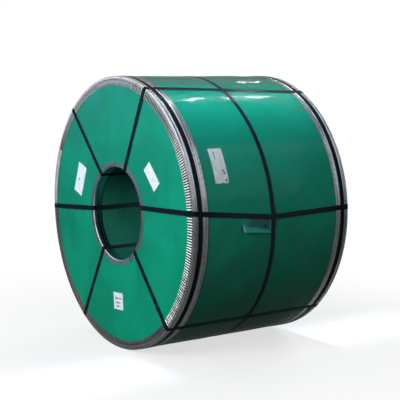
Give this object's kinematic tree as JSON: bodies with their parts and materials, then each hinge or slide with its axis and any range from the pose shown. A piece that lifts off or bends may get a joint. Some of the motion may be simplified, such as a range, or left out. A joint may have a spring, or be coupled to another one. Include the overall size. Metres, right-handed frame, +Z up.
{
  "type": "steel coil",
  "caption": "Packed coil of steel strip lying on its side, in a green sheet wrap with zinc edge guards and black steel straps, with an open bore for a lifting hook or mandrel.",
  "frame": {"origin": "on the floor under the middle of the coil", "axes": "+Y along the bore away from the front end, +Z up"},
  "size_m": [1.792, 1.2194, 1.7722],
  "materials": {
    "strip_steel": "bare rolled strip edges",
    "green_sheet": "glossy green painted sheet",
    "zinc_sheet": "bright zinc coated sheet",
    "strap_steel": "blue-black painted and waxed strapping",
    "seal_steel": "zinc coated seal",
    "label_paper": "blank white label"
  },
  "bodies": {
    "root": {"steel_coil": "strip_steel", "outer_wrap": "green_sheet", "bore_liner": "green_sheet", "end_cover_front": "green_sheet", "end_cover_rear": "green_sheet", "outer_guard_front_1": "zinc_sheet", "outer_guard_front_2": "zinc_sheet", "outer_guard_front_3": "zinc_sheet", "outer_guard_front_4": "zinc_sheet", "outer_guard_front_5": "zinc_sheet", "outer_guard_front_6": "zinc_sheet", "outer_guard_rear_1": "zinc_sheet", "outer_guard_rear_2": "zinc_sheet", "outer_guard_rear_3": "zinc_sheet", "outer_guard_rear_4": "zinc_sheet", "outer_guard_rear_5": "zinc_sheet", "outer_guard_rear_6": "zinc_sheet", "inner_guard_front": "zinc_sheet", "inner_guard_rear": "zinc_sheet", "hoop_front": "strap_steel", "hoop_middle": "strap_steel", "hoop_rear": "strap_steel", "eye_strap_1": "strap_steel", "eye_strap_2": "strap_steel", "eye_strap_3": "strap_steel", "eye_strap_4": "strap_steel", "eye_strap_5": "strap_steel", "eye_strap_6": "strap_steel", "hoop_seals": "seal_steel", "eye_seals": "seal_steel", "label_left": "label_paper", "label_right": "label_paper", "label_low": "label_paper", "label_wrap": "label_paper", "wrap_tab": "green_sheet"}
  },
  "joints": []
}
